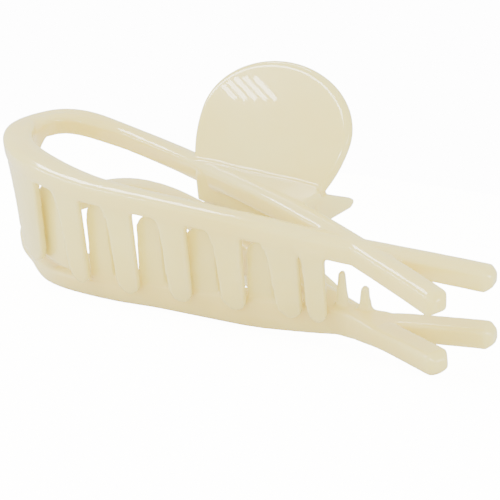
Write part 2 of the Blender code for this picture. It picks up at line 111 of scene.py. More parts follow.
class Bench:
    """The modelling operators that every piece uses."""

    @staticmethod
    def clear() -> None:
        """Leave edit mode and deselect everything."""
        if bpy.context.object and bpy.context.object.mode != "OBJECT":
            bpy.ops.object.mode_set(mode="OBJECT")
        bpy.ops.object.select_all(action="DESELECT")

    @staticmethod
    def pick(piece: bpy.types.Object) -> bpy.types.Object:
        """Select one object alone and make it active.

        Args:
            piece: the object.

        Returns:
            The same object.
        """
        Bench.clear()
        piece.select_set(True)
        bpy.context.view_layer.objects.active = piece
        return piece

    @staticmethod
    def modify(piece: bpy.types.Object, kind: str, **settings: object) -> None:
        """Add a modifier and apply it.

        Args:
            piece: the object that gets it.
            kind: the modifier's type.
            settings: the modifier's own values.
        """
        Bench.pick(piece)
        modifier = piece.modifiers.new(kind.lower(), kind)
        for key, value in settings.items():
            setattr(modifier, key, value)
        bpy.ops.object.modifier_apply(modifier=modifier.name)

    @staticmethod
    def join(name: str, pieces: list[bpy.types.Object]) -> bpy.types.Object:
        """Join several meshes into the first one.

        Args:
            name: the joined object's name.
            pieces: the meshes.

        Returns:
            The joined object.
        """
        Bench.pick(pieces[0])
        for piece in pieces[1:]:
            piece.select_set(True)
        bpy.ops.object.join()
        joined = bpy.context.object
        joined.name = name
        joined.data.name = name
        return joined

    @staticmethod
    def settle(piece: bpy.types.Object, place: Matrix) -> bpy.types.Object:
        """Move a mesh by a transform and leave its object at the origin.

        Args:
            piece: the object.
            place: the transform.

        Returns:
            The same object.
        """
        Bench.pick(piece)
        piece.matrix_world = place
        bpy.ops.object.transform_apply(location=True, rotation=True, scale=True)
        return piece

    @staticmethod
    def face_out(piece: bpy.types.Object) -> None:
        """Merge doubles and turn all normals outwards.

        Args:
            piece: the object.
        """
        Bench.pick(piece)
        bpy.ops.object.mode_set(mode="EDIT")
        bpy.ops.mesh.select_all(action="SELECT")
        bpy.ops.mesh.remove_doubles(threshold=1e-6)
        bpy.ops.mesh.normals_make_consistent(inside=False)
        bpy.ops.object.mode_set(mode="OBJECT")

    @staticmethod
    def curve(name: str, outlines: list[Outline], closed: bool, flat: bool) -> bpy.types.Object:
        """Draw straight-sided curves through lists of points.

        Args:
            name: the object's name.
            outlines: the lists of points.
            closed: whether each list ends where it starts.
            flat: whether it is a flat, filled curve.

        Returns:
            The curve object.
        """
        Bench.clear()
        bpy.ops.curve.primitive_bezier_curve_add()
        drawn = bpy.context.object
        drawn.name = name
        drawn.data.splines.clear()
        drawn.data.dimensions = "2D" if flat else "3D"
        for outline in outlines:
            spline = drawn.data.splines.new("POLY")
            spline.points.add(len(outline) - 1)
            for point, place in zip(spline.points, outline):
                point.co = (*place.to_3d(), 1.0)
            spline.use_cyclic_u = closed
        return drawn

    @staticmethod
    def plate(name: str, outlines: list[Outline], thick: float, edge: float,
              steps: int = 4) -> bpy.types.Object:
        """Make a flat plate with rounded edges, centred on z = 0.

        Args:
            name: the object's name.
            outlines: its outer outline and those of its holes.
            thick: its thickness.
            edge: the radius of its edges.
            steps: how finely the edges are rounded.

        Returns:
            The mesh object.
        """
        drawn = Bench.curve(name, outlines, True, True)
        drawn.data.fill_mode = "BOTH"
        drawn.data.extrude = thick / 2 - edge
        drawn.data.bevel_depth = edge
        drawn.data.bevel_resolution = steps
        drawn.data.offset = -edge
        bpy.ops.object.convert(target="MESH")
        made = bpy.context.object
        Bench.face_out(made)
        return made

    @staticmethod
    def sweep(name: str, route: Outline, section: bpy.types.Object | None, radii: list[float],
              wire: float = 0.0) -> bpy.types.Object:
        """Sweep a section, or a round wire, along a route.

        Args:
            name: the object's name.
            route: the points of the route.
            section: the closed curve of the section, or None for a wire.
            radii: how large the section is at each point, as a share.
            wire: the wire's radius.

        Returns:
            The mesh object, closed at both ends.
        """
        drawn = Bench.curve(name, [route], False, False)
        drawn.data.twist_mode = "Z_UP" if section else "MINIMUM"
        if section:
            drawn.data.bevel_mode = "OBJECT"
            drawn.data.bevel_object = section
        else:
            drawn.data.bevel_depth = wire
            drawn.data.bevel_resolution = 6
        drawn.data.use_fill_caps = True
        for point, radius in zip(drawn.data.splines[0].points, radii):
            point.radius = radius
        bpy.ops.object.convert(target="MESH")
        made = bpy.context.object
        Bench.face_out(made)
        if section:
            bpy.data.objects.remove(section)
        return made


def smooth(value: float, low: float, high: float) -> float:
    """Blend from 0 at low to 1 at high.

    Args:
        value: where to read the blend.
        low: where it starts.
        high: where it ends.

    Returns:
        The share.
    """
    part = min(max((value - low) / (high - low), 0.0), 1.0)
    return part * part * (3.0 - 2.0 * part)


@dataclass(frozen=True)
class FishRail:
    """The fish-shaped rail of a jaw: its plan, its heights and its section."""

    width: float = 5.2 * MM
    height: float = 5.0 * MM
    knee_x: float = 50.0 * MM
    knee_half: float = 14.4 * MM
    slope: float = 0.235
    bend: float = 0.27
    nose_shift: float = 4.0 * MM
    reach_back: float = 17.0 * MM
    reach_front: float = 18.0 * MM
    reach_knee: float = 20.0 * MM
    nose_steps: int = 56
    tail_steps: int = 60
    end_round: float = 1.5 * MM
    end_taper: float = 0.45
    # Each row: distance from the nose, then that of the outer face from the middle plane, in millimetres.
    front_heights: tuple = ((0, 15.2), (25, 15.0), (55, 14.0), (85, 12.4), (107, 10.4), (134.5, 8.4))
    back_heights: tuple = ((0, 14.5), (8, 12.6), (16, 10.4), (24, 9.3), (34, 8.9), (48, 9.1), (60, 9.9),
                           (80, 10.9), (95, 10.8), (107, 10.3), (134.5, 8.4))
    front_depths: tuple = ((0, 15.5), (6, 16.0), (12, 18.2), (19, 19.9), (28, 18.6), (36, 17.4), (44, 16.6),
                           (57, 15.8), (82, 15.6), (95, 14.2), (107, 12.3), (116, 10.3), (134.5, 8.4))
    back_depths: tuple = ((0, 14.5), (8, 12.6), (16, 10.4), (24, 9.3), (34, 9.3), (48, 12.4), (56, 14.0),
                          (82, 15.0), (95, 13.9), (107, 12.3), (116, 10.3), (134.5, 8.4))
    back_end: float = 133.3 * MM
    front_end: float = 135.7 * MM
    side_blend: tuple[float, float] = (-6.0 * MM, 8.0 * MM)
    tail_rise: float = 1.3 * MM
    rise_from: float = 85.0 * MM
    lower_inset: float = 2.4 * MM
    inset_start: tuple[float, float] = (6.0 * MM, 14.5 * MM)
    inset_end: tuple[float, float] = (100.0 * MM, 109.0 * MM)
    nose_fill: float = 2.0 * MM
    fill_back: tuple[float, float] = (3.0 * MM, 24.0 * MM)
    fill_front: tuple[float, float] = (25.0 * MM, 60.0 * MM)
    fill_side: tuple[float, float] = (-6.0 * MM, 4.0 * MM)
    nose_drop: float = 3.4 * MM
    drop_fade: tuple[float, float] = (11.0 * MM, 19.0 * MM)
    drop_side: tuple[float, float] = (-5.0 * MM, 3.0 * MM)
    crown: float = 0.45 * MM
    edge: float = 0.95 * MM

    def read(self, table: tuple, x: float) -> float:
        """Read a height from a table of millimetres, rounded over at its rows.

        Args:
            table: the rows of distance and height.
            x: distance from the nose in metres.

        Returns:
            The height in metres.
        """
        total = 0.0
        reaches = (-3.0, -1.5, 0.0, 1.5, 3.0)
        for reach in reaches:
            at = min(max(x / MM + reach, table[0][0]), table[-1][0])
            for (x0, z0), (x1, z1) in zip(table, table[1:]):
                if at <= x1:
                    total += z0 + (z1 - z0) * (at - x0) / (x1 - x0)
                    break
        return total / len(reaches) * MM

    def outer_height(self, x: float, y: float, jaw: Side = Side.UPPER) -> float:
        """Distance of a jaw's outer face from the middle plane, over a point of the plan.

        Args:
            x: distance from the nose.
            y: distance towards the hinge.
            jaw: which jaw.

        Returns:
            The distance.
        """
        mix = smooth(y, *self.side_blend)
        upper = jaw is Side.UPPER
        front = self.read(self.front_heights if upper else self.front_depths, x)
        back = self.read(self.back_heights if upper else self.back_depths, x)
        rise = self.tail_rise * smooth(x, self.rise_from, self.front_end) if upper else 0.0
        return front * (1.0 - mix) + back * mix + rise

    def inner_height(self, x: float, y: float, jaw: Side) -> float:
        """Distance of a jaw rail's inner edge from the middle plane, over a point of the plan.

        Args:
            x: distance from the nose.
            y: distance towards the hinge.
            jaw: which jaw.

        Returns:
            The distance.
        """
        if jaw is Side.LOWER:
            return min(self.outer_height(x, y), self.outer_height(x, y, jaw)) - self.height
        drop = self.nose_drop * (1.0 - smooth(x, *self.drop_fade)) * (1.0 - smooth(y, *self.drop_side))
        return self.outer_height(x, y) - self.height - drop

    def half_width(self, x: float) -> float:
        """Distance of the rail's middle from the axis beyond the knee, negative past the crossing.

        Args:
            x: distance from the nose.

        Returns:
            The distance.
        """
        run = x - self.knee_x
        return self.knee_half - self.slope * run - self.bend * run * run

    def middle(self, side: float, inset: float = 0.0) -> Outline:
        """Points along one rail's middle in plan, from the nose to the tail end of its prong.

        Args:
            side: 1 for the hinge side, -1 for the toothed side.
            inset: how far the lower jaw's toothed rail stands in.

        Returns:
            The points.
        """
        reach = self.reach_back if side > 0 else self.reach_front
        nose = Vector((self.width / 2, self.nose_shift))
        knee = Vector((self.knee_x, side * self.knee_half))
        lean = Vector((-1.0, side * self.slope)).normalized()
        points = interpolate_bezier(nose, nose + Vector((0, side * reach)), knee + lean * self.reach_knee,
                                    knee, self.nose_steps)
        end = self.back_end if side > 0 else self.front_end
        run = (end - self.knee_x) / self.tail_steps
        for step in range(1, self.tail_steps + 1):
            x = self.knee_x + run * step
            points.append(Vector((x, side * self.half_width(x))))
        return [Vector((p.x, p.y - side * inset * self.inset_share(p.x))) for p in points]

    def inset_share(self, x: float) -> float:
        """How much of the inset applies at a distance from the nose.

        Args:
            x: distance from the nose.

        Returns:
            The share, from 0 to 1.
        """
        return smooth(x, *self.inset_start) * (1.0 - smooth(x, *self.inset_end))

    def section(self) -> bpy.types.Object:
        """Draw the rail's section: a rounded bar whose outer face is slightly crowned.

        Returns:
            The closed curve.
        """
        half = self.width / 2
        top = self.height / 2
        fall = self.crown * 0.7
        side = half - self.edge
        points = []
        for step in range(13):
            share = step / 12 * 2.0 - 1.0
            points.append(Vector((share * side, top - fall * (share * share))))
        corners = ((side, top - fall - self.edge, 90.0), (side, -top + self.edge, 0.0),
                   (-side, -top + self.edge, -90.0), (-side, top - fall - self.edge, -180.0))
        for x, y, start in corners:
            for step in range(1, 7):
                turn = math.radians(start - 15.0 * step)
                points.append(Vector((x + self.edge * math.cos(turn), y + self.edge * math.sin(turn))))
        return Bench.curve("rail_section", [points], True, True)

    def build(self, jaw: Side) -> list[bpy.types.Object]:
        """Sweep the rail from prong to prong round the nose, and again where it is deeper or broader.

        Args:
            jaw: which jaw it is for.

        Returns:
            The mesh objects, in the clip's frame.
        """
        inset = 0.0 if jaw is Side.UPPER else self.lower_inset
        back = self.middle(1.0)[::-1]
        plan = back + self.middle(-1.0, inset)[1:]
        route = [Vector((p.x, p.y, self.outer_height(p.x, p.y, jaw) - self.height / 2)) for p in plan]
        radii = []
        for index, point in enumerate(route):
            end = self.back_end if index < len(route) / 2 else self.front_end
            share = min(max(end - point.x, 0.0) / self.end_round, 1.0)
            radii.append(1.0 - self.end_taper * (1.0 - math.sqrt(1.0 - (1.0 - share) ** 2)))
        made = [Bench.sweep("rail", route, self.section(), radii)]
        for level in (0.0, 0.5, 1.0):
            inner = []
            for index, (before, p, after) in enumerate(zip(plan, plan[1:], plan[2:])):
                along = (after - before).normalized()
                fade = self.fill_back if index < len(back) else self.fill_front
                fill = self.nose_fill * (1.0 - smooth(p.x, *fade))
                if level == 0.0:
                    fill *= 1.0 - smooth(p.y, *self.fill_side)
                place = p + Vector((-along.y, along.x)) * fill
                top = self.outer_height(p.x, p.y, jaw) - self.height / 2
                sink = level * (top - self.inner_height(p.x, p.y, jaw) - self.height / 2)
                if fill > 0.05 * MM or sink > 0.1 * MM:
                    inner.append(Vector((place.x, place.y, top - sink)))
            made.append(Bench.sweep("rail_inner", inner, self.section(), [1.0] * len(inner)))
        if jaw is Side.LOWER:
            for piece in made:
                Bench.settle(piece, Matrix.Diagonal((1, 1, -1, 1)))
                Bench.face_out(piece)
        return made

    def tooth_path(self) -> tuple[bpy.types.Object, list[tuple[float, float]]]:
        """The line that the teeth follow: the upper jaw's toothed rail in plan.

        Returns:
            The curve, and how far along it each distance from the nose lies.
        """
        plan = self.middle(-1.0)
        along = 0.0
        reached = [(plan[0].x, 0.0)]
        for a, b in zip(plan, plan[1:]):
            along += (b - a).length
            reached.append((b.x, along))
        path = Bench.curve("tooth_path", [plan], False, False)
        path.data.twist_mode = "Z_UP"
        return path, reached


@dataclass(frozen=True)
class Tooth:
    """One tooth, as it looks laid out flat along its rail."""

    name: str
    left: float
    right: float
    tip_left: float
    tip_right: float
    root: float
    tip: float
    layer: float
    flare_left: float
    flare_right: float
    thick: float = 1.8 * MM
    flare_fade: float = 2.1 * MM
    right_fade: float = 1.4 * MM
    round_left: float = 0.62
    round_right: float = 0.42
    round_about: float = 0.55
    bluntness: float = 0.02
    lean: float = 0.0
    steps: int = 16
    crowding: float = 1.7

    def sections(self) -> list[tuple[float, float, float, float]]:
        """Sides, height and inward bend at each step from root to tip.

        Returns:
            Left side, right side, height and bend of each step.
        """
        length = abs(self.tip - self.root)
        down = 1.0 if self.tip > self.root else -1.0
        width = self.tip_right - self.tip_left
        made = []
        for step in range(self.steps + 1):
            depth = length * (1.0 - (1.0 - step / self.steps) ** self.crowding)
            part = depth / length
            left = self.left + (self.tip_left - self.left) * part
            right = self.right + (self.tip_right - self.right) * part
            left -= self.flare_left * math.exp(-depth / self.flare_fade)
            right += self.flare_right * math.exp(-depth / self.right_fade)
            rest = length - depth
            for_left = min(rest / (width * self.round_left), 1.0)
            for_right = min(rest / (width * self.round_right), 1.0)
            middle = left + (right - left) * self.round_about
            left = middle + (left - middle) * math.sqrt(max(1.0 - (1.0 - for_left) ** 2, self.bluntness))
            right = middle + (right - middle) * math.sqrt(max(1.0 - (1.0 - for_right) ** 2, self.bluntness))
            made.append((left, right, self.root + down * depth, self.lean * part ** 2))
        return made

    def build(self, path: bpy.types.Object, reached: list[tuple[float, float]]) -> bpy.types.Object:
        """Extrude the tooth from its root step by step, then bend it along the rail.

        Args:
            path: the line that it follows.
            reached: how far along the line each distance from the nose lies.

        Returns:
            The mesh object, in the clip's frame.
        """
        def run(x: float) -> float:
            """Turn a distance from the nose into a distance along the line."""
            for (x0, s0), (x1, s1) in zip(reached, reached[1:]):
                if x <= x1:
                    return s0 + (s1 - s0) * (x - x0) / (x1 - x0)
            return reached[-1][1]

        stack = [(run(left), run(right), z, bend) for left, right, z, bend in self.sections()]
        left, right, z, _ = stack[0]
        Bench.clear()
        bpy.ops.mesh.primitive_grid_add(x_subdivisions=6, y_subdivisions=1, size=1.0,
                                        location=((left + right) / 2, -(self.layer - self.thick / 2), z))
        made = bpy.context.object
        made.scale = (right - left, self.thick, 1.0)
        bpy.ops.object.transform_apply(location=True, rotation=True, scale=True)
        bpy.ops.object.mode_set(mode="EDIT")
        bpy.ops.mesh.select_all(action="SELECT")
        for (left0, right0, z0, bend0), (left1, right1, z1, bend1) in zip(stack, stack[1:]):
            centre = (left1 + right1) / 2
            shift = centre - (left0 + right0) / 2
            move = (shift, bend1 - bend0, z1 - z0)
            bpy.ops.mesh.extrude_region_move(TRANSFORM_OT_translate={"value": move})
            bpy.ops.transform.resize(value=((right1 - left1) / (right0 - left0), 1.0, 1.0),
                                     center_override=(centre, 0.0, z1))
        bpy.ops.object.mode_set(mode="OBJECT")
        Bench.face_out(made)
        Bench.modify(made, "CURVE", object=path, deform_axis="POS_X")
        made.name = self.name
        return made


@dataclass(frozen=True)
class ToothRow:
    """A jaw's row of teeth: where each one stands along the rail."""

    rail: FishRail = FishRail()
    overlap: float = 2.4 * MM
    gap: float = 1.4 * MM
    lower_lean: float = 0.9 * MM
    outer_layer: float = 2.45 * MM
    last_layer: float = 2.95 * MM
    inner_layer: float = -0.1 * MM
    spike_layer: float = -0.7 * MM
    right_flare: float = 0.5 * MM
    spike_flare: float = 1.2 * MM
    root_depth: float = 3.0 * MM
    front_y: float = -20.0 * MM
    # Each row: right side, root width, tip width, tip's right side, left flare and its fade, all in mm.
    upper_rows: tuple = ((26.5, 13.0, 10.4, 25.0, 6.5, 2.6), (41.3, 7.4, 5.4, 41.2, 2.6, 2.1),
                         (55.1, 6.3, 5.4, 55.0, 2.6, 2.1), (68.6, 6.2, 5.4, 68.5, 2.6, 2.1),
                         (81.8, 6.7, 5.4, 81.7, 2.6, 2.1), (95.0, 7.2, 5.6, 94.9, 2.6, 2.1),
                         (100.8, 4.8, 4.0, 100.7, 1.0, 2.1))
    # Each row: left side, root width, tip width and, for a spike, the height of its tip, all in mm.
    lower_rows: tuple = ((20.5, 11.9, 10.9, None), (39.8, 7.2, 6.2, None), (53.9, 7.0, 6.0, None),
                         (65.8, 8.4, 7.6, None), (81.1, 6.4, 5.6, None), (94.5, 3.4, 2.6, None),
                         (101.6, 2.6, 1.2, 2.2), (106.6, 2.6, 1.2, -0.4))

    def upper(self) -> list[Tooth]:
        """Seven teeth in the outer layer.

        Returns:
            The teeth.
        """
        made = []
        for index, (right, root_width, tip_width, tip_right, flare, fade) in enumerate(self.upper_rows):
            face = self.rail.outer_height((right - root_width / 2) * MM, self.front_y)
            tip = self.rail.height - face - self.overlap
            layer = self.last_layer if index == len(self.upper_rows) - 1 else self.outer_layer
            made.append(Tooth(f"upper_tooth_{index + 1}", (right - root_width) * MM, right * MM,
                              (tip_right - tip_width) * MM, tip_right * MM, face - self.root_depth, tip,
                              layer, flare * MM, self.right_flare, flare_fade=fade * MM))
        return made

    def lower(self) -> list[Tooth]:
        """Six broad teeth in the inner layer, and two spikes by the crossing.

        Returns:
            The teeth.
        """
        made = []
        for index, (left, root_width, tip_width, tip_height) in enumerate(self.lower_rows):
            left *= MM
            root_width *= MM
            spare = (root_width - tip_width * MM) / 2
            face = self.rail.outer_height(left + root_width / 2, self.front_y)
            tip = face - self.rail.height - self.gap if tip_height is None else tip_height * MM
            spike = tip_height is not None
            flare = self.spike_flare if spike else self.right_flare
            made.append(Tooth(f"lower_tooth_{index + 1}", left, left + root_width, left + spare,
                              left + root_width - spare, self.root_depth - face, tip,
                              self.spike_layer if spike else self.inner_layer, flare, flare,
                              lean=0.0 if spike else self.lower_lean))
        return made

    def build(self, jaw: Side) -> list[bpy.types.Object]:
        """Model a jaw's teeth.

        Args:
            jaw: which jaw.

        Returns:
            The mesh objects, in the clip's frame.
        """
        path, reached = self.rail.tooth_path()
        teeth = self.upper() if jaw is Side.UPPER else self.lower()
        made = [tooth.build(path, reached) for tooth in teeth]
        bpy.data.objects.remove(path)
        return made


@dataclass(frozen=True)
class BlockFit:
    """What differs between the two jaws' hinge blocks: the lower one stands deeper."""

    ears: tuple[float, float]
    right: float
    deeper: float
    paddle_x: float
    paddle_base: tuple[float, float]
    paddle_lean: float


@dataclass(frozen=True)
class HingeBlock:
    """What stands behind the back rail: deck, wall, ears, stop fin and finger paddle."""

    rail: FishRail = FishRail()
    upper: BlockFit = BlockFit(ears=(53.0 * MM, 77.0 * MM), right=86.4 * MM, deeper=0.0,
                               paddle_x=65.3 * MM, paddle_base=(15.0 * MM, 10.3 * MM),
                               paddle_lean=math.radians(54.0))
    lower: BlockFit = BlockFit(ears=(56.0 * MM, 74.0 * MM), right=83.0 * MM, deeper=4.4 * MM,
                               paddle_x=64.0 * MM, paddle_base=(15.0 * MM, 13.4 * MM),
                               paddle_lean=math.radians(57.0))
    left: float = 50.0 * MM
    wall_y: tuple[float, float] = (10.8 * MM, 12.8 * MM)
    wall_gap: float = 0.35 * MM
    wall_top: float = 7.6 * MM
    plate_edge: float = 0.4 * MM
    deck_thick: float = 3.0 * MM
    deck_left: float = 46.0 * MM
    deck_middle: float = 68.0 * MM
    deck_back: float = 16.6 * MM
    deck_corners: tuple[float, float] = (1.0 * MM, 3.0 * MM)
    deck_edge: float = 0.6 * MM
    deck_sink: float = 0.25 * MM
    deck_parts: int = 10
    pin_y: float = 17.0 * MM
    ear_radius: float = 3.2 * MM
    ear_thick: float = 2.5 * MM
    ear_foot: float = 0.8 * MM
    ear_front: float = 8.0 * MM
    ear_back: tuple[float, float] = (4.5 * MM, 9.5 * MM)
    ear_chamfer: float = 1.6 * MM
    ear_top: tuple[float, float] = (-1.5 * MM, 8.6 * MM)
    bore_radius: float = 1.3 * MM
    fin_x: float = 84.2 * MM
    fin_thick: float = 2.3 * MM
    # Each corner: distance towards the hinge, then height, in millimetres.
    fin_corners: tuple = ((11.8, 8.6), (11.8, 2.8), (23.6, 2.8), (24.8, 3.6), (24.8, 4.7), (16.0, 9.2))
    paddle_width: float = 44.0 * MM
    paddle_base_width: float = 36.5 * MM
    paddle_height: float = 26.2 * MM
    paddle_widest: float = 11.0 * MM
    paddle_root: float = 2.5 * MM
    paddle_thick: float = 2.8 * MM
    paddle_edge: float = 1.25 * MM
    paddle_steps: tuple[int, int] = (24, 72)

    def across(self, name: str, x: float, thick: float, outlines: list[Outline]) -> bpy.types.Object:
        """Stand a plate square to X, from outlines of (y, z) pairs.

        Args:
            name: the object's name.
            x: where the plate starts.
            thick: its thickness.
            outlines: its outline and holes.

        Returns:
            The mesh object.
        """
        made = Bench.plate(name, outlines, thick, self.plate_edge, 3)
        upright = Matrix(((0, 0, 1, x + thick / 2), (1, 0, 0, 0), (0, 1, 0, 0), (0, 0, 0, 1)))
        return Bench.settle(made, upright)

    def deck(self, jaw: Side, fit: BlockFit) -> bpy.types.Object:
        """Fill the space between the curved back rail and the straight hinge line.

        Args:
            jaw: which jaw.
            fit: that jaw's own sizes.

        Returns:
            The mesh object.
        """
        left = self.deck_left
        right = fit.right
        near, far = self.deck_corners
        points = [Vector((left, self.rail.knee_half)),
                  Vector((self.deck_middle, self.rail.half_width(self.deck_middle))),
                  Vector((right, self.rail.half_width(right))), Vector((right, self.deck_back - far)),
                  Vector((right - far, self.deck_back)), Vector((left + near, self.deck_back))]
        made = Bench.plate("deck", [points], self.deck_thick, self.deck_edge)
        Bench.pick(made)
        bpy.ops.object.mode_set(mode="EDIT")
        for cut in range(1, self.deck_parts):
            x = left + (right - left) * cut / self.deck_parts
            bpy.ops.mesh.select_all(action="SELECT")
            bpy.ops.mesh.bisect(plane_co=(x, 0, 0), plane_no=(1, 0, 0))
        bpy.ops.object.mode_set(mode="OBJECT")
        for vertex in made.data.vertices:
            face = self.rail.outer_height(vertex.co.x, self.pin_y, jaw)
            vertex.co.z += face - self.deck_thick / 2 - self.deck_sink
        return made

    def ear(self, name: str, x: float, deeper: float) -> bpy.types.Object:
        """A hinge ear: a cheek from the deck down to an eye round the pin.

        Args:
            name: the object's name.
            x: where it starts.
            deeper: how much further off the deck is than the upper jaw's.

        Returns:
            The mesh object.
        """
        front = self.wall_y[1] - self.ear_foot
        back = self.pin_y + self.ear_radius
        outline = [Vector((front, self.ear_front + deeper)), Vector((front, self.ear_foot)),
                   Vector((self.pin_y - self.ear_radius, self.ear_foot))]
        for step in range(25):
            turn = math.pi + math.pi * step / 24
            outline.append(Vector((self.pin_y + self.ear_radius * math.cos(turn),
                                   self.ear_radius * math.sin(turn))))
        outline += [Vector((back, self.ear_back[0] + deeper)),
                    Vector((back - self.ear_chamfer, self.ear_back[1] + deeper)),
                    Vector((self.pin_y + self.ear_top[0], self.ear_top[1] + deeper))]
        eye = [Vector((self.pin_y + self.bore_radius * math.cos(math.tau * k / 32),
                       self.bore_radius * math.sin(math.tau * k / 32))) for k in range(32)]
        return self.across(name, x, self.ear_thick, [outline, eye])

    def fin(self) -> bpy.types.Object:
        """The fin at the tail end, which stops the paddles when they are squeezed.

        Returns:
            The mesh object.
        """
        outline = [Vector((y * MM, z * MM)) for y, z in self.fin_corners]
        return self.across("fin", self.fin_x, self.fin_thick, [outline])

    def wall(self, fit: BlockFit) -> bpy.types.Object:
        """The wall under the deck, in front of the pin.

        Args:
            fit: the jaw's own sizes.

        Returns:
            The mesh object.
        """
        top = self.wall_top + fit.deeper
        right = fit.right - self.plate_edge
        size = (right - self.left, self.wall_y[1] - self.wall_y[0], top - self.wall_gap)
        middle = ((right + self.left) / 2, sum(self.wall_y) / 2, (top + self.wall_gap) / 2)
        Bench.clear()
        bpy.ops.mesh.primitive_cube_add(size=1.0, location=middle, scale=size)
        made = bpy.context.object
        bpy.ops.object.transform_apply(location=True, rotation=True, scale=True)
        bpy.ops.object.mode_set(mode="EDIT")
        bpy.ops.mesh.select_all(action="SELECT")
        bpy.ops.mesh.bevel(offset=self.plate_edge, segments=3)
        bpy.ops.object.mode_set(mode="OBJECT")
        return made

    def paddle(self, fit: BlockFit) -> bpy.types.Object:
        """The round finger paddle, leaning back from the hinge.

        Args:
            fit: the jaw's own sizes.

        Returns:
            The mesh object.
        """
        half = self.paddle_width / 2
        top = self.paddle_height - self.paddle_widest
        foot = self.paddle_widest + self.paddle_root
        below = foot / math.sqrt(1.0 - (self.paddle_base_width / self.paddle_width) ** 2)
        low = math.asin(foot / below)
        few, many = self.paddle_steps
        turns = [(-low + low * step / few, below) for step in range(few)]
        turns += [(math.pi * step / many, top) for step in range(many + 1)]
        turns += [(math.pi + low * step / few, below) for step in range(1, few + 1)]
        outline = [Vector((half * math.cos(turn), self.paddle_widest + reach * math.sin(turn)))
                   for turn, reach in turns]
        made = Bench.plate("paddle", [outline], self.paddle_thick, self.paddle_edge, 6)
        place = (Matrix.Translation((fit.paddle_x, *fit.paddle_base))
                 @ Matrix.Rotation(fit.paddle_lean, 4, "X")
                 @ Matrix.Translation((0, 0, -self.paddle_thick / 2)))
        return Bench.settle(made, place)

    def build(self, jaw: Side) -> list[bpy.types.Object]:
        """Model the block for one jaw.

        Args:
            jaw: which jaw.

        Returns:
            The mesh objects, in the clip's frame.
        """
        fit = self.upper if jaw is Side.UPPER else self.lower
        made = [self.deck(jaw, fit), self.wall(fit), self.ear("ear_nose_side", fit.ears[0], fit.deeper),
                self.ear("ear_tail_side", fit.ears[1], fit.deeper), self.paddle(fit)]
        if jaw is Side.UPPER:
            made.append(self.fin())
        else:
            for piece in made:
                Bench.settle(piece, Matrix.Diagonal((1, 1, -1, 1)))
                Bench.face_out(piece)
        return made


def tune(node: bpy.types.Node, settings: dict[str, object]) -> None:
    """Set several inputs of a shader node.

    Args:
        node: the node.
        settings: each input's name and value.
    """
    for label, value in settings.items():
        node.inputs[label].default_value = value


def add_group(name: str, inputs: dict[str, tuple[str, object]],
              outputs: dict[str, str]) -> bpy.types.NodeTree:
    """Start a shader node group with named sockets.

    Args:
        name: the group's name.
        inputs: each input's socket type and its starting value.
        outputs: each output's socket type.

    Returns:
        The node tree, with its input and output nodes.
    """
    group = bpy.data.node_groups.new(name, "ShaderNodeTree")
    for label, (kind, value) in inputs.items():
        socket = group.interface.new_socket(name=label, in_out="INPUT", socket_type=kind)
        socket.default_value = value
    for label, kind in outputs.items():
        group.interface.new_socket(name=label, in_out="OUTPUT", socket_type=kind)
    group.nodes.new("NodeGroupInput")
    group.nodes.new("NodeGroupOutput")
    return group


def milky_flow_group() -> bpy.types.NodeTree:
    """Build the slow cloudiness of moulded milky plastic.

    Returns:
        A group that puts out a colour, a roughness and a height.
    """
    group = add_group(
        "milky_flow",
        {"Scale": ("NodeSocketFloat", 30.0), "Clear Tint": ("NodeSocketColor", (1, 1, 1, 1)),
         "Dense Tint": ("NodeSocketColor", (1, 1, 1, 1)), "Low Roughness": ("NodeSocketFloat", 0.1),
         "High Roughness": ("NodeSocketFloat", 0.2)},
        {"Color": "NodeSocketColor", "Roughness": "NodeSocketFloat", "Height": "NodeSocketFloat"})
    nodes = group.nodes
    links = group.links
    start = nodes["Group Input"]
    end = nodes["Group Output"]
    place = nodes.new("ShaderNodeTexCoord")
    stretch = nodes.new("ShaderNodeMapping")
    tune(stretch, {"Scale": (0.45, 1.0, 1.0)})
    cloud = nodes.new("ShaderNodeTexNoise")
    tune(cloud, {"Detail": 3.0, "Roughness": 0.55, "Distortion": 0.6})
    tint = nodes.new("ShaderNodeMix")
    tint.data_type = "RGBA"
    haze = nodes.new("ShaderNodeMapRange")
    tune(haze, {"From Min": 0.3, "From Max": 0.7})
    links.new(place.outputs["Object"], stretch.inputs["Vector"])
    links.new(stretch.outputs["Vector"], cloud.inputs["Vector"])
    links.new(start.outputs["Scale"], cloud.inputs["Scale"])
    links.new(cloud.outputs["Fac"], haze.inputs["Value"])
    links.new(haze.outputs["Result"], tint.inputs["Factor"])
    links.new(start.outputs["Clear Tint"], tint.inputs["A"])
    links.new(start.outputs["Dense Tint"], tint.inputs["B"])
    links.new(tint.outputs["Result"], end.inputs["Color"])
    gloss = nodes.new("ShaderNodeMapRange")
    links.new(cloud.outputs["Fac"], gloss.inputs["Value"])
    links.new(start.outputs["Low Roughness"], gloss.inputs["To Min"])
    links.new(start.outputs["High Roughness"], gloss.inputs["To Max"])
    links.new(gloss.outputs["Result"], end.inputs["Roughness"])
    links.new(cloud.outputs["Fac"], end.inputs["Height"])
    return group


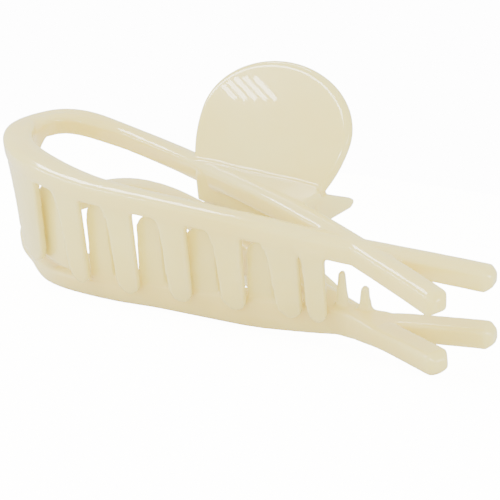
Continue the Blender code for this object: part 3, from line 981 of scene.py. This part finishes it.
@dataclass(frozen=True)
class MilkyPlastic:
    """Glossy, slightly translucent cream plastic."""

    clear_tint: tuple[float, float, float, float] = (0.95, 0.80, 0.35, 1.0)
    dense_tint: tuple[float, float, float, float] = (0.92, 0.74, 0.26, 1.0)
    scatter: float = 0.8
    scatter_radius: tuple[float, float, float] = (1.0, 0.9, 0.6)
    scatter_scale: float = 0.007
    polish: float = 1.0
    polish_roughness: float = 0.012
    refraction: float = 1.49
    flow_scale: float = 38.0
    roughness: tuple[float, float] = (0.10, 0.17)
    ripple: float = 0.12
    ripple_depth: float = 0.2 * MM

    def build(self) -> bpy.types.Material:
        """Make the material.

        Returns:
            The material.
        """
        material = bpy.data.materials.new("milky_plastic")
        material.use_nodes = True
        tree = material.node_tree
        shader = tree.nodes["Principled BSDF"]
        tune(shader, {"IOR": self.refraction, "Subsurface Weight": self.scatter,
                      "Subsurface Radius": self.scatter_radius, "Subsurface Scale": self.scatter_scale,
                      "Coat Weight": self.polish, "Coat Roughness": self.polish_roughness})
        flow = tree.nodes.new("ShaderNodeGroup")
        flow.node_tree = milky_flow_group()
        tune(flow, {"Scale": self.flow_scale, "Clear Tint": self.clear_tint, "Dense Tint": self.dense_tint,
                    "Low Roughness": self.roughness[0], "High Roughness": self.roughness[1]})
        bump = tree.nodes.new("ShaderNodeBump")
        tune(bump, {"Strength": self.ripple, "Distance": self.ripple_depth})
        tree.links.new(flow.outputs["Color"], shader.inputs["Base Color"])
        tree.links.new(flow.outputs["Roughness"], shader.inputs["Roughness"])
        tree.links.new(flow.outputs["Height"], bump.inputs["Height"])
        tree.links.new(bump.outputs["Normal"], shader.inputs["Normal"])
        return material


@dataclass(frozen=True)
class DrawnSteel:
    """Bright drawn wire."""

    tint: tuple[float, float, float, float] = (0.62, 0.61, 0.60, 1.0)
    shade: float = 0.8
    grain_scale: float = 900.0
    roughness: tuple[float, float] = (0.22, 0.42)

    def build(self) -> bpy.types.Material:
        """Make the material.

        Returns:
            The material.
        """
        material = bpy.data.materials.new("drawn_steel")
        material.use_nodes = True
        tree = material.node_tree
        shader = tree.nodes["Principled BSDF"]
        tune(shader, {"Metallic": 1.0})
        place = tree.nodes.new("ShaderNodeTexCoord")
        grain = tree.nodes.new("ShaderNodeTexNoise")
        tune(grain, {"Scale": self.grain_scale, "Detail": 4.0})
        tone = tree.nodes.new("ShaderNodeMix")
        tone.data_type = "RGBA"
        tune(tone, {"A": self.tint, "B": tuple(self.shade * value for value in self.tint[:3]) + (1.0,)})
        gloss = tree.nodes.new("ShaderNodeMapRange")
        tune(gloss, {"To Min": self.roughness[0], "To Max": self.roughness[1]})
        tree.links.new(place.outputs["Object"], grain.inputs["Vector"])
        tree.links.new(grain.outputs["Fac"], tone.inputs["Factor"])
        tree.links.new(tone.outputs["Result"], shader.inputs["Base Color"])
        tree.links.new(grain.outputs["Fac"], gloss.inputs["Value"])
        tree.links.new(gloss.outputs["Result"], shader.inputs["Roughness"])
        return material


@dataclass(frozen=True)
class Jaw:
    """One moulded jaw, from its rail, teeth and hinge block."""

    rail: FishRail = FishRail()
    teeth: ToothRow = ToothRow()
    block: HingeBlock = HingeBlock()
    grain: float = 0.38 * MM
    soften: int = 7

    def build(self, jaw: Side, plastic: bpy.types.Material) -> bpy.types.Object:
        """Model a jaw as one moulding and put it in its node's place.

        Args:
            jaw: which jaw.
            plastic: its finish.

        Returns:
            The finished object.
        """
        pieces = self.rail.build(jaw) + self.teeth.build(jaw) + self.block.build(jaw)
        made = Bench.join(jaw.node + "_moulding", pieces)
        Bench.modify(made, "REMESH", mode="VOXEL", voxel_size=self.grain, use_smooth_shade=True)
        Bench.modify(made, "SMOOTH", factor=0.5, iterations=self.soften)
        Bench.settle(made, LIE.matrix())
        made.data.materials.clear()
        made.data.materials.append(plastic)
        Bench.pick(made)
        bpy.ops.object.shade_smooth()
        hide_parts(jaw.node)
        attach(made, jaw.body)
        LOG.info("%s: %d faces", made.name, len(made.data.polygons))
        return made


@dataclass(frozen=True)
class HingeWork:
    """The steel pin and the torsion spring round it."""

    pin_radius: float = 1.0 * MM
    pin_ends: tuple[float, float] = (51.5 * MM, 81.0 * MM)
    pin_y: float = 17.0 * MM
    pin_round: float = 0.35 * MM
    pin_share: float = 0.995
    coil_radius: float = 2.3 * MM
    wire_radius: float = 0.45 * MM
    coil_x: tuple[float, float] = (60.0 * MM, 72.5 * MM)
    turns: int = 7
    turn_steps: int = 36
    leg_bend: tuple[float, float] = (0.15 * MM, 3.4 * MM)
    leg_start: tuple[float, float] = (0.02 * MM, 1.6 * MM)
    upper_leg: tuple[float, float] = (22.7 * MM, 14.4 * MM)
    lower_leg: tuple[float, float] = (22.7 * MM, -18.6 * MM)

    def pin(self, steel: bpy.types.Material) -> bpy.types.Object:
        """Model the pin, with rounded ends.

        Args:
            steel: its finish.

        Returns:
            The finished object.
        """
        middle = (sum(self.pin_ends) / 2, self.pin_y, 0.0)
        Bench.clear()
        bpy.ops.mesh.primitive_cylinder_add(
            vertices=48, radius=self.pin_radius * self.pin_share, depth=self.pin_ends[1] - self.pin_ends[0],
            location=middle, rotation=(0, math.pi / 2, 0))
        made = bpy.context.object
        made.name = "pin"
        bpy.ops.object.transform_apply(location=True, rotation=True, scale=True)
        for face in made.data.polygons:
            face.select = len(face.vertices) > 4
        bpy.ops.object.mode_set(mode="EDIT")
        bpy.ops.mesh.select_mode(type="FACE")
        bpy.ops.mesh.bevel(offset=self.pin_round, segments=4)
        bpy.ops.object.mode_set(mode="OBJECT")
        Bench.settle(made, LIE.matrix())
        self.dress(made, "hinge_pin", steel)
        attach(made, "lower")
        return made

    def spring(self, steel: bpy.types.Material) -> bpy.types.Object:
        """Model the spring: a coil round the pin, with a leg towards each paddle.

        Args:
            steel: its finish.

        Returns:
            The finished object.
        """
        low, high = self.coil_x
        back = self.pin_y + self.coil_radius
        out, rise = self.leg_bend
        start_out, start_rise = self.leg_start
        route = [Vector((low, *self.upper_leg)), Vector((low, back + out, rise)),
                 Vector((low, back + start_out, start_rise))]
        steps = self.turns * self.turn_steps
        for step in range(steps + 1):
            turn = -math.tau * step / self.turn_steps
            route.append(Vector((low + (high - low) * step / steps,
                                 self.pin_y + self.coil_radius * math.cos(turn),
                                 self.coil_radius * math.sin(turn))))
        route += [Vector((high, back + start_out, -start_rise)), Vector((high, back + out, -rise)),
                  Vector((high, *self.lower_leg))]
        made = Bench.sweep("torsion_spring", route, None, [1.0] * len(route), self.wire_radius)
        place = LIE.matrix()
        Bench.settle(made, place)
        self.dress(made, "spring", steel)
        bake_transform(made)
        return made

    @staticmethod
    def dress(made: bpy.types.Object, node: str, steel: bpy.types.Material) -> None:
        """Give a piece its finish, and hide the CAD node that it stands for.

        Args:
            made: the piece.
            node: the CAD node that it stands for.
            steel: its finish.
        """
        made.data.materials.clear()
        made.data.materials.append(steel)
        Bench.pick(made)
        bpy.ops.object.shade_smooth_by_angle(angle=math.radians(40))
        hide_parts(node)
        LOG.info("%s: %d faces", made.name, len(made.data.polygons))


@dataclass(frozen=True)
class Softbox:
    """A rectangular light, placed in the clip's own frame so that its glints stay where they are."""

    name: str
    toward: tuple[float, float, float]
    along: tuple[float, float, float]
    size: tuple[float, float]
    radiance: float
    distance: float = 0.8
    aim: tuple[float, float, float] = (66.0 * MM, 0.0, 0.0)

    def build(self) -> None:
        """Hang the light."""
        Bench.clear()
        bpy.ops.object.light_add(type="AREA")
        made = bpy.context.object
        made.name = self.name
        made.data.shape = "RECTANGLE"
        made.data.size, made.data.size_y = self.size
        made.data.energy = self.radiance * math.pi * self.size[0] * self.size[1]
        facing = Vector(self.toward).normalized()
        side = Vector(self.along)
        side = (side - facing * side.dot(facing)).normalized()
        turn = Matrix((side, facing.cross(side), facing)).transposed().to_4x4()
        place = Vector(self.aim) + facing * self.distance
        made.matrix_world = LIE.matrix() @ Matrix.Translation(place) @ turn


@dataclass(frozen=True)
class Studio:
    """Floor, lights and camera."""

    eye: tuple[float, float, float] = (281.24 * MM, -206.34 * MM, 149.55 * MM)
    right: tuple[float, float, float] = (0.73559, 0.67299, -0.07738)
    up: tuple[float, float, float] = (-0.25969, 0.38564, 0.88535)
    back: tuple[float, float, float] = (0.62567, -0.63116, 0.45845)
    lens: float = 107.27
    room_light: float = 2.1
    room_tint: tuple[float, float, float, float] = (1.0, 0.95, 0.74, 1.0)
    seen_white: float = 14.0
    floor_glow: float = 13.0
    floor_size: float = 8.0
    floor_drop: float = 0.05 * MM
    floor_tint: tuple[float, float, float, float] = (0.93, 0.93, 0.92, 1.0)
    floor_roughness: float = 0.75
    softboxes: tuple[Softbox, ...] = (
        Softbox("rail_strip", (-0.626, -0.458, 0.631), (1.0, 0.0, 0.0), (0.55, 0.08), 22.0),
        Softbox("top_softbox", (-0.626, 0.257, 0.728), (1.0, 0.0, 0.0), (0.3, 0.12), 18.0),
        Softbox("rim_softbox", (0.508, -0.681, 0.496), (1.0, 0.0, 0.0), (0.25, 0.08), 18.0),
        Softbox("tail_softbox", (0.95, 0.1, 0.3), (0.0, 1.0, 0.0), (0.3, 0.2), 10.0))
    window_aim: tuple[float, float, float] = (54.5 * MM, 25.4 * MM, 24.5 * MM)
    window_toward: tuple[float, float, float] = (-0.6525, -0.5483, 0.5231)
    window_distance: float = 0.8
    window_bars: int = 5
    window_width: float = 32.0 * MM
    window_right: tuple[float, float, float] = (0.87, -0.16, 0.46)
    window_lean: tuple[float, float, float] = (0.75, -0.65, -0.10)
    bar_size: tuple[float, float] = (24.0 * MM, 3.5 * MM)
    window_radiance: float = 34.0

    def camera(self) -> None:
        """Add the camera at the photograph's angle; its place is given in the clip's frame."""
        Bench.clear()
        bpy.ops.object.camera_add()
        made = bpy.context.object
        made.data.sensor_width = 36.0
        made.data.lens = self.lens
        made.data.clip_start = 0.01
        turn = Matrix((self.right, self.up, self.back)).transposed().to_4x4()
        made.matrix_world = LIE.matrix() @ Matrix.Translation(self.eye) @ turn
        bpy.context.scene.camera = made

    def floor(self) -> None:
        """Lay a pale floor that the camera sees as pure white."""
        Bench.clear()
        bpy.ops.mesh.primitive_plane_add(size=self.floor_size, location=(0.0, 0.0, -self.floor_drop))
        made = bpy.context.object
        made.name = "floor"
        material = bpy.data.materials.new("pale_paper")
        material.use_nodes = True
        shader = material.node_tree.nodes["Principled BSDF"]
        tune(shader, {"Base Color": self.floor_tint, "Roughness": self.floor_roughness,
                      "Emission Color": (1.0, 1.0, 1.0, 1.0)})
        path = material.node_tree.nodes.new("ShaderNodeLightPath")
        level = material.node_tree.nodes.new("ShaderNodeMapRange")
        tune(level, {"To Max": self.floor_glow})
        material.node_tree.links.new(path.outputs["Is Camera Ray"], level.inputs["Value"])
        material.node_tree.links.new(level.outputs["Result"], shader.inputs["Emission Strength"])
        made.data.materials.append(material)

    def world(self) -> None:
        """Surround the clip with even warm light, which the camera sees as pure white."""
        world = bpy.data.worlds.new("white_room")
        bpy.context.scene.world = world
        world.use_nodes = True
        tree = world.node_tree
        ground = tree.nodes["Background"]
        path = tree.nodes.new("ShaderNodeLightPath")
        level = tree.nodes.new("ShaderNodeMapRange")
        tune(level, {"To Min": self.room_light, "To Max": self.seen_white})
        tint = tree.nodes.new("ShaderNodeMix")
        tint.data_type = "RGBA"
        tune(tint, {"A": self.room_tint, "B": (1.0, 1.0, 1.0, 1.0)})
        tree.links.new(path.outputs["Is Camera Ray"], level.inputs["Value"])
        tree.links.new(path.outputs["Is Camera Ray"], tint.inputs["Factor"])
        tree.links.new(level.outputs["Result"], ground.inputs["Strength"])
        tree.links.new(tint.outputs["Result"], ground.inputs["Color"])

    def lights(self) -> None:
        """Hang the softboxes, and the barred window that the paddle mirrors."""
        for softbox in self.softboxes:
            softbox.build()
        window = Vector(self.window_toward) * self.window_distance
        for bar in range(self.window_bars):
            share = bar / (self.window_bars - 1) - 0.5
            shift = Vector(self.window_right) * (share * self.window_width)
            Softbox(f"window_bar_{bar + 1}", tuple(window + shift), self.window_lean, self.bar_size,
                    self.window_radiance, self.window_distance, self.window_aim).build()

    def build(self) -> None:
        """Set up the studio."""
        self.camera()
        self.floor()
        self.world()
        self.lights()


def main() -> None:
    """Build the clip and its studio."""
    logging.basicConfig(level=logging.INFO, format="%(name)s: %(message)s")
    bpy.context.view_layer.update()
    Studio().build()
    plastic = MilkyPlastic().build()
    steel = DrawnSteel().build()
    jaw = Jaw()
    for side in Side:
        jaw.build(side, plastic)
    work = HingeWork()
    work.pin(steel)
    work.spring(steel)


if __name__ == "__main__":
    main()
